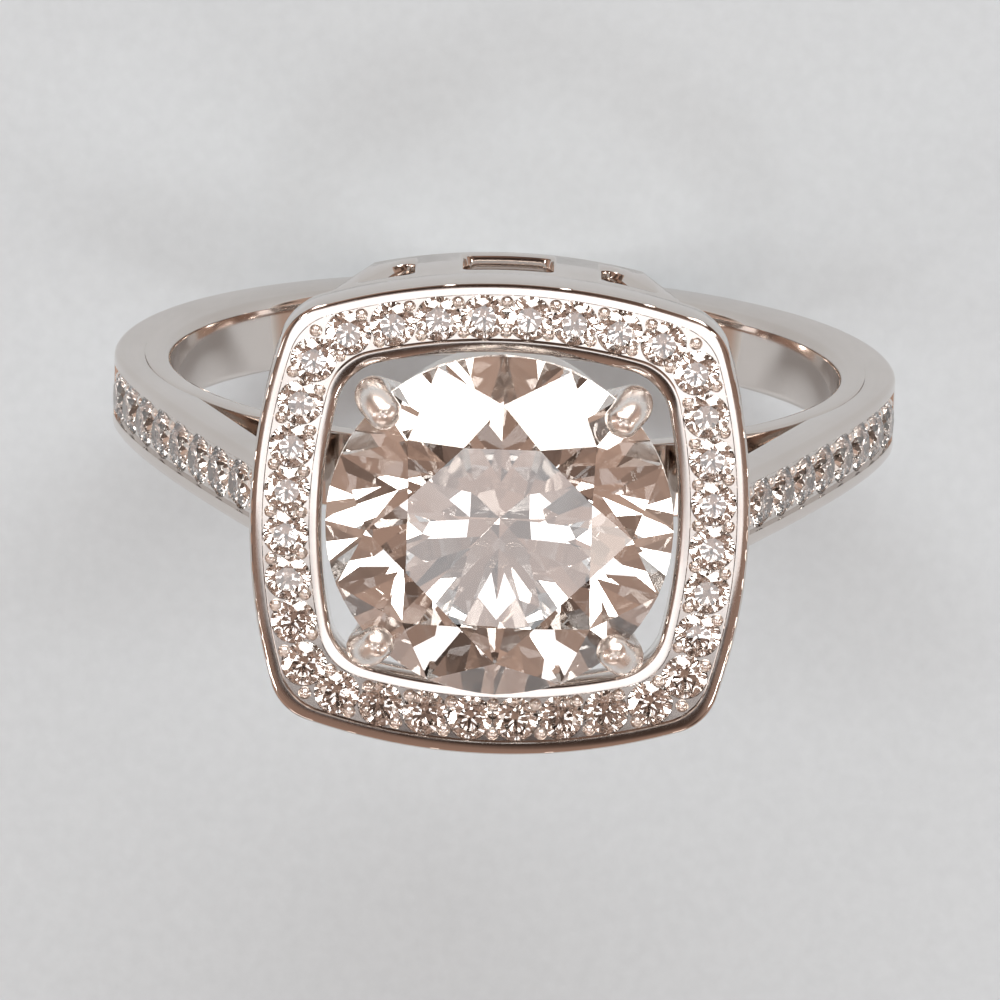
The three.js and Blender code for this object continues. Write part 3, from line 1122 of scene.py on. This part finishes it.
@dataclass
class Cushion:
    """The rounded-square outline that the halo and the gallery share: four shallow arcs, four corner arcs."""

    side_radius: float = 14.8
    corner_radius: float = 1.35
    measuring_steps: int = 2880

    def __post_init__(self) -> None:
        """Read the half sizes from the frame."""
        _, high = box_mm("halo_frame")
        self.half_x, self.half_y = high.x, high.y

    def point(self, angle: float, inset: float) -> Vector:
        """Point of the outline.

        Args:
            angle: Angle round the head's axis, from +X towards +Y.
            inset: How far inside the outline the point lies.

        Returns:
            The point, (x, y).
        """
        side = self.side_radius - inset
        reach = side - self.corner_radius
        side_x = Vector((self.half_x - self.side_radius, 0))
        side_y = Vector((0, self.half_y - self.side_radius))
        across = Vector((-side_y.y, -side_x.x))
        corner = (side_x + side_y) / 2 + across.normalized() * math.sqrt(reach**2 - across.length_squared / 4)
        ray = Vector((abs(math.cos(angle)), abs(math.sin(angle))))
        centre, radius = corner, self.corner_radius
        if ray.cross(side_x.lerp(corner, side / reach)) > 0:
            centre, radius = side_x, side
        elif ray.cross(side_y.lerp(corner, side / reach)) < 0:
            centre, radius = side_y, side
        ray *= centre.dot(ray) + math.sqrt(radius**2 - centre.cross(ray) ** 2)
        return Vector((math.copysign(ray.x, math.cos(angle)), math.copysign(ray.y, math.sin(angle))))

    def even_angles(self, count: int, inset: float = 0.0) -> list[float]:
        """Parameter angles of evenly spaced points, counter-clockwise from +X.

        Args:
            count: How many.
            inset: The inset at which they are evenly spaced.

        Returns:
            The angles.
        """
        angles = [*full_turn(self.measuring_steps), 2 * math.pi]
        points = [self.point(a, inset) for a in angles]
        lengths = [0.0]
        for a, b in zip(points, points[1:]):
            lengths.append(lengths[-1] + (b - a).length)
        out, j = [], 1
        for i in range(count):
            target = i / count * lengths[-1]
            while lengths[j] < target:
                j += 1
            t = (target - lengths[j - 1]) / (lengths[j] - lengths[j - 1])
            out.append(angles[j - 1] + (angles[j] - angles[j - 1]) * t)
        return out

    def rings(self, profile: Outline, count: int) -> list[list[Vector]]:
        """Rings of points for a wall of a given profile.

        Args:
            profile: (inset, height) pairs.
            count: Points in each ring.

        Returns:
            One ring for each pair.
        """
        angles = self.even_angles(count)
        return [[Vector((*self.point(a, inset), z)) for a in angles] for inset, z in profile]


@dataclass
class Halo:
    """The cushion-shaped plate of small stones round the centre."""

    palette: Palette
    stones: Stones
    cushion: Cushion
    pave: Pave = field(default_factory=Pave)
    outer_rim: float = 0.32
    channel: float = 1.12
    inner_rim: float = 0.31
    channel_depth: float = 0.12
    edge: float = 0.09
    edge_steps: int = 3
    lip: float = 0.02
    count: int = 336

    def build(self) -> None:
        """Build the plate with its rims, channel, seats and beads."""
        low, high = box_mm("halo_frame")
        bottom, top = low.z, high.z
        near, far = self.outer_rim, self.outer_rim + self.channel
        width = far + self.inner_rim
        ground = top - self.channel_depth
        e, lip = self.edge, self.lip
        profile = [
            *self._corner(e, bottom + e, -90),
            *self._corner(e, top - e, 0),
            (near - lip, top),
            (near, top - lip),
            (near, ground),
            (far, ground),
            (far, top - lip),
            (far + lip, top),
            *self._corner(width - e, top - e, 90),
            *self._corner(width - e, bottom + e, 180),
        ]
        bm = bmesh.new()
        sweep(bm, self.cushion.rings(profile, self.count), closed=True)
        matrices = [self.stones.seats[n] for n in Stones.nodes("halo_stone")]
        middle = near + self.channel / 2
        spots = []
        for angle in self.cushion.even_angles(len(matrices), middle):
            for sign in (1, -1):
                spot = self.cushion.point(angle, middle + sign * self.pave.bead_offset)
                spots.append((Vector((*spot, ground)), Vector((0, 0, 1))))
        metals = (self.palette.gold, self.palette.seat, self.palette.claw)
        bm = join(carve(bm, self.pave.seats(matrices), metals), self.pave.beads(spots))
        Piece("halo_plate", metals, ("halo_frame",), Slot.GOLD).finish(bm)

    def _corner(self, inset: float, height: float, start: float) -> Outline:
        """A rounded edge of the plate's section.

        Args:
            inset: Inset of the rounding's middle.
            height: Height of the rounding's middle.
            start: Its first angle in degrees, 0 outwards and 90 up.

        Returns:
            (inset, height) pairs over a quarter of a turn.
        """
        angles = [math.radians(start + 90 / self.edge_steps * i) for i in range(self.edge_steps + 1)]
        return [(inset - self.edge * math.cos(a), height + self.edge * math.sin(a)) for a in angles]


@dataclass
class Gallery:
    """The pierced wall under the halo: a full top rail with four panels that hang from it."""

    palette: Palette
    cushion: Cushion
    inset: float = 0.08
    wall: float = 0.7
    rail_bottom: float = 11.15
    corner_gap_low: float = 1.75
    corner_gap_high: float = 0.72
    edge: float = 0.06
    edge_degrees: float = 50.0
    rounding: float = 0.22
    slice_width: float = 0.2
    rail_steps: int = 240
    bending_steps: int = 1440
    # Corners of the windows of each panel: along the wall from the panel's middle, and height.
    over_finger: Sequence[Outline] = (
        ((-1.1, 9.42), (1.1, 9.42), (1.1, 10.95), (-1.1, 10.95)),
        ((2.3, 9.75), (2.75, 9.75), (3.75, 10.95), (2.3, 10.95)),
        ((-2.3, 9.75), (-2.3, 10.95), (-3.75, 10.95), (-2.75, 9.75)),
    )
    over_arms: Sequence[Outline] = (
        ((1.5, 9.42), (2.6, 9.42), (2.6, 10.95), (1.5, 10.95)),
        ((-2.6, 9.42), (-1.5, 9.42), (-1.5, 10.95), (-2.6, 10.95)),
    )

    def build(self) -> None:
        """Build the rail and the panels."""
        low, high = box_mm("gallery")
        e, far = self.edge, self.inset + self.wall
        profile = [
            (self.inset, self.rail_bottom),
            (self.inset, high.z - e),
            (self.inset + e, high.z),
            (far - e, high.z),
            (far, high.z - e),
            (far, self.rail_bottom),
        ]
        bm = bmesh.new()
        sweep(bm, self.cushion.rings(profile, self.rail_steps), closed=True)
        angles = self.cushion.even_angles(self.bending_steps, self.inset)
        angles.append(2 * math.pi)
        points = [self.cushion.point(a, self.inset) for a in angles]
        length = sum((b - a).length for a, b in zip(points, points[1:]))
        for quarter in range(4):
            panel = self._panel(low.z, length / 8, self.over_finger if quarter % 2 else self.over_arms)
            for vert in panel.verts:
                place = (quarter / 4 + vert.co.x / length) % 1.0 * (len(angles) - 1)
                i = int(place)
                angle = angles[i] + (angles[i + 1] - angles[i]) * (place - i)
                vert.co = Vector((*self.cushion.point(angle, self.inset + vert.co.y), vert.co.z))
            join(bm, panel)
        Piece("gallery_wall", (self.palette.gold,), ("gallery",), Slot.GOLD).finish(bm)

    def _panel(self, bottom: float, eighth: float, windows: Sequence[Outline]) -> BMesh:
        """One panel laid flat: x along the wall, y through it, z up.

        Args:
            bottom: Height of its lower edge.
            eighth: Half of the length of wall that the panel has.
            windows: The outlines of its windows.

        Returns:
            The panel, sliced finely enough to be bent round the outline.
        """
        wide, narrow = eighth - self.corner_gap_high, eighth - self.corner_gap_low
        top = self.rail_bottom
        bm = plate(((-narrow, bottom), (narrow, bottom), (wide, top), (-wide, top)), 0.0, self.wall, 0.0)
        cutter = bmesh.new()
        for window in windows:
            join(cutter, plate(window, -1.0, self.wall + 1.0, self.rounding))
        bm = carve(bm, cutter)
        turned = math.radians(self.edge_degrees)
        sharp = [e for e in bm.edges if len(e.link_faces) == 2 and e.calc_face_angle(0.0) > turned]
        sharp = [e for e in sharp if min(v.co.z for v in e.verts) < top - self.edge / 2]
        bmesh.ops.bevel(
            bm, geom=sharp, offset=self.edge, segments=2, affect="EDGES", profile=0.5, material=-1
        )
        for i in range(1, int(2 * wide / self.slice_width)):
            whole = [*bm.verts, *bm.edges, *bm.faces]
            corner = (i * self.slice_width - wide, 0, 0)
            bmesh.ops.bisect_plane(bm, geom=whole, dist=ON_PLANE, plane_co=corner, plane_no=(1, 0, 0))
        return bm


@dataclass
class Basket:
    """The base ring and the four claws that hold the centre stone."""

    palette: Palette
    stones: Stones
    base_inner: float = 2.45
    base_steps: int = 96
    edge: float = 0.12
    claw_radius: float = 0.45
    # Each claw's middle line: distance from the head's axis, height and share of the claw's radius.
    # The first two heights count from the top of the base ring.
    claw_foot: Sequence[tuple[float, float, float]] = ((2.93, -0.3, 1.0), (2.96, 0.15, 1.0))
    claw_rise: Sequence[tuple[float, float, float]] = (
        (3.38, 10.9, 1.0),
        (3.92, 12.0, 1.0),
        (4.26, 12.75, 1.0),
        (4.46, 13.3, 1.03),
        (4.34, 13.72, 1.0),
        (4.04, 13.98, 0.95),
    )
    claw_steps: int = 6
    claw_sides: int = 20
    claw_degrees: float = 40.0
    tip_steps: int = 6
    tip_end: float = 6.3  # steps from the tip's start to its pole, so that the last step leaves a small flat
    tip_length: float = 0.8  # in claw radii
    notch_scale: float = 1.004

    def build(self) -> None:
        """Build the base ring and the claws."""
        low, high = box_mm("base_ring")
        middle = (high.x + self.base_inner) / 2
        section = rounded_rectangle((high.x - self.base_inner) / 2, low.z, high.z, self.edge, self.edge)
        rings = [
            [Vector(((middle + x) * math.cos(a), (middle + x) * math.sin(a), z)) for x, z in section]
            for a in full_turn(self.base_steps)
        ]
        bm = bmesh.new()
        sweep(bm, rings, closed=True)
        Piece("base_ring_spun", (self.palette.gold,), ("base_ring",), Slot.GOLD).finish(bm)
        for i in range(4):
            self._claw(i, high.z)

    def _claw(self, index: int, foot: float) -> None:
        """Build one claw, notched for the stone's edge.

        Args:
            index: 0 to 3, counter-clockwise from the corner between +X and +Y.
            foot: Height of the base ring's top.
        """
        turns = full_turn(self.claw_sides)
        side = Vector((0, 1, 0))
        rings = []
        for point, way, radius in self._claw_stations(foot):
            up = side.cross(way)
            rings.append([point + side * radius * math.cos(a) + up * radius * math.sin(a) for a in turns])
        bm = bmesh.new()
        sweep(bm, rings)
        turn = Matrix.Rotation((index + 0.5) * math.pi / 2, 4, "Z")
        bmesh.ops.transform(bm, matrix=turn, verts=bm.verts)
        notch = RoundBrilliant().make()
        place = self.stones.seats["centre_stone"] @ Matrix.Scale(self.notch_scale, 4)
        bmesh.ops.transform(notch, matrix=place, verts=notch.verts)
        # The notch where the stone sits takes the seat metal, whose darker colour is painted shade.
        for face in notch.faces:
            face.material_index = 1
        node = f"claw_{index + 1}"
        metals = (self.palette.claw, self.palette.seat)
        piece = Piece(node + "_wire", metals, (node,), Slot.GOLD, self.claw_degrees)
        piece.finish(carve(bm, notch, metals))

    def _claw_stations(self, foot: float) -> list[tuple[Vector, Vector, float]]:
        """The claw's middle line over +X, from its foot to its rounded tip.

        Args:
            foot: Height of the base ring's top.

        Returns:
            For each station the point, the line's direction and the claw's radius.
        """
        path = [*((x, foot + z, share) for x, z, share in self.claw_foot), *self.claw_rise]
        centre = catmull_rom([Vector((x, 0.0, z)) for x, z, _ in path], self.claw_steps)
        sizes = [Vector((self.claw_radius * share, 0.0, 0.0)) for _, _, share in path]
        radii = catmull_rom(sizes, self.claw_steps)
        last = len(centre) - 1
        stations = []
        for i, point in enumerate(centre):
            way = (centre[min(i + 1, last)] - centre[max(i - 1, 0)]).normalized()
            stations.append((point, way, radii[i].x))
        end, out, size = stations[-1]
        for i in range(1, self.tip_steps + 1):
            angle = math.pi / 2 * i / self.tip_end
            reach = out * size * self.tip_length * math.sin(angle)
            stations.append((end + reach, out, size * math.cos(angle)))
        return stations


# ------------------------------------------------------------------ studio


@dataclass(frozen=True)
class SoftBox:
    """A rectangular light that faces the ring from far off: where it hangs, how big it looks, how bright."""

    name: str
    azimuth: float  # degrees from +X towards +Y
    elevation: float  # degrees
    width: float  # degrees, as the ring sees it
    height: float  # degrees
    glow: float
    tint: str = "fffaf5"
    distance: float = 4.0  # metres

    def hang(self) -> None:
        """Make the light."""
        a, e = math.radians(self.azimuth), math.radians(self.elevation)
        place = Vector((math.cos(a) * math.cos(e), math.sin(a) * math.cos(e), math.sin(e))) * self.distance
        data = bpy.data.lights.new(self.name, "AREA")
        data.shape = "RECTANGLE"
        data.size = 2 * self.distance * math.tan(math.radians(self.width / 2))
        data.size_y = 2 * self.distance * math.tan(math.radians(self.height / 2))
        data.color = linear(self.tint)[:3]
        data.energy = self.glow * math.pi * data.size * data.size_y
        obj = add_object(self.name, data)
        obj.location = place
        obj.rotation_euler = (-place).to_track_quat("-Z", "Y").to_euler()


@dataclass(frozen=True)
class Room:
    """The warm room that the metal and the stones mirror: pale at the horizon, brown above, darker overhead.

    Heights are sines of the elevation, 0 at the horizon and 1 straight up. Dark patches break up the walls,
    so that facets at different angles show different tones.
    """

    stops: Sequence[tuple[float, str]] = (
        (0.0, "e0dfdd"),
        (0.03, "cbc4be"),
        (0.09, "bfa799"),
        (0.5, "bd9d8c"),
        (0.8, "ab8c7c"),
        (1.0, "8f766a"),
    )
    patch_scale: float = 2.6
    patch_edge: tuple[float, float] = (0.4, 0.48)
    patch_strength: float = 0.2
    plain_height: float = 0.03  # no patches below this
    patchy_height: float = 0.09

    def make(self) -> None:
        """Make the world."""
        world = bpy.data.worlds.new("room")
        bpy.context.scene.world = world
        world.use_nodes = True
        tree = world.node_tree
        tree.nodes.clear()
        way = add_node(tree, "ShaderNodeTexCoord").outputs["Generated"]
        height = add_node(tree, "ShaderNodeSeparateXYZ", {"Vector": way}).outputs["Z"]
        ramp = add_node(tree, "ShaderNodeValToRGB", {"Fac": height})
        elements = ramp.color_ramp.elements
        elements[0].color, elements[1].color = linear(self.stops[0][1]), linear(self.stops[-1][1])
        for position, colour in self.stops[1:-1]:
            elements.new(position).color = linear(colour)
        patches = add_node(
            tree, "ShaderNodeTexNoise", {"Vector": way, "Scale": self.patch_scale, "Detail": 1.0}
        ).outputs["Fac"]
        shade, plain = (
            add_node(
                tree,
                "ShaderNodeMapRange",
                {"Value": value, "From Min": start, "From Max": end, "To Min": first, "To Max": last},
            ).outputs["Result"]
            for value, (start, end), first, last in (
                (patches, self.patch_edge, self.patch_strength, 1.0),
                (height, (self.plain_height, self.patchy_height), 1.0, 0.0),
            )
        )
        strength = add_node(tree, "ShaderNodeMath", {0: shade, 1: plain}, operation="MAXIMUM")
        back = add_node(
            tree,
            "ShaderNodeBackground",
            {"Color": ramp.outputs["Color"], "Strength": strength.outputs["Value"]},
        )
        add_node(tree, "ShaderNodeOutputWorld", {"Surface": back.outputs["Background"]})


@dataclass
class Studio:
    """Pale floor, soft lights and the camera, in metres."""

    tilt_degrees: float = 14.0
    roll_degrees: float = 2.0
    distance: float = 0.28
    lens: float = 415.0  # millimetres
    clip: tuple[float, float] = (0.01, 5.0)
    aim_beyond: float = 0.0003  # how far beyond the head's axis the camera looks
    aim_up: float = 0.0002  # and how far up its own picture
    floor_reach: float = 1.6  # from the middle to each edge
    lights: Sequence[SoftBox] = (
        SoftBox("window", 86, 36, 58, 28, 7.0),
        SoftBox("ceiling", 268, 82.4, 22, 14, 1.75, "f8f8fa"),
        SoftBox("left_strip", 184, 44, 7, 26, 2.6),
        SoftBox("right_strip", 335, 36, 9, 22, 2.6),
        SoftBox("front_low", 265, 24, 45, 7.6, 2.4),
        SoftBox("spot_a", 225, 58, 4.3, 4.3, 30.0),
        SoftBox("spot_b", 310, 62, 4.3, 4.3, 30.0),
        SoftBox("spot_c", 20, 66, 3.8, 3.8, 30.0),
        SoftBox("spot_d", 150, 68, 3.8, 3.8, 30.0),
        SoftBox("spot_e", 352, 24, 4.8, 4.8, 30.0),
        SoftBox("spot_f", 190, 22, 4.8, 4.8, 30.0),
    )

    def build(self) -> None:
        """Make the floor, the lights, the room and the camera."""
        low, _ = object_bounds()
        self._floor(low.z)
        for light in self.lights:
            light.hang()
        Room().make()
        self._camera()
        bpy.context.scene.view_settings.view_transform = "Standard"
        # Light crosses many facets of a stone before it comes out again.
        cycles = bpy.context.scene.cycles
        cycles.max_bounces = 16
        cycles.glossy_bounces = 10
        cycles.transmission_bounces = 12

    def _floor(self, height: float) -> None:
        """Lay a large pale floor under the ring.

        Args:
            height: Height of the ring's lowest point.
        """
        bm = bmesh.new()
        bmesh.ops.create_grid(bm, x_segments=1, y_segments=1, size=self.floor_reach)
        bmesh.ops.translate(bm, verts=bm.verts, vec=(0, 0, height))
        add_object("floor", as_mesh(bm, "floor", (MattPaper().make(),)))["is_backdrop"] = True

    def _camera(self) -> None:
        """Look down on the head, tipped a little from its axis, with the far side of the finger up."""
        tilt = math.radians(self.tilt_degrees)
        back = Vector((0, math.sin(tilt), math.cos(tilt)))
        level = Vector((0, math.cos(tilt), -math.sin(tilt)))
        up = Matrix.Rotation(math.radians(self.roll_degrees), 3, back) @ level
        _, high = box_mm("halo_frame")
        target = Vector((0.0, self.aim_beyond, high.z * MM)) + up * self.aim_up
        data = bpy.data.cameras.new("camera")
        data.lens = self.lens
        data.clip_start, data.clip_end = self.clip
        obj = add_object("camera", data)
        turn = Matrix((up.cross(back), up, back)).transposed().to_4x4()
        obj.matrix_world = Matrix.Translation(target + back * self.distance) @ turn
        bpy.context.scene.camera = obj


# ------------------------------------------------------------------ all of it


def main() -> None:
    """Build the ring, then the studio round it."""
    logging.basicConfig(level=logging.INFO, format="%(name)s: %(message)s")
    palette = Palette()
    stones = Stones(palette)
    stones.build()
    cushion = Cushion()
    Band(palette, stones).build()
    Halo(palette, stones, cushion).build()
    Gallery(palette, cushion).build()
    Basket(palette, stones).build()
    Studio().build()
    log.info("boxes written")


if __name__ == "__main__":
    main()
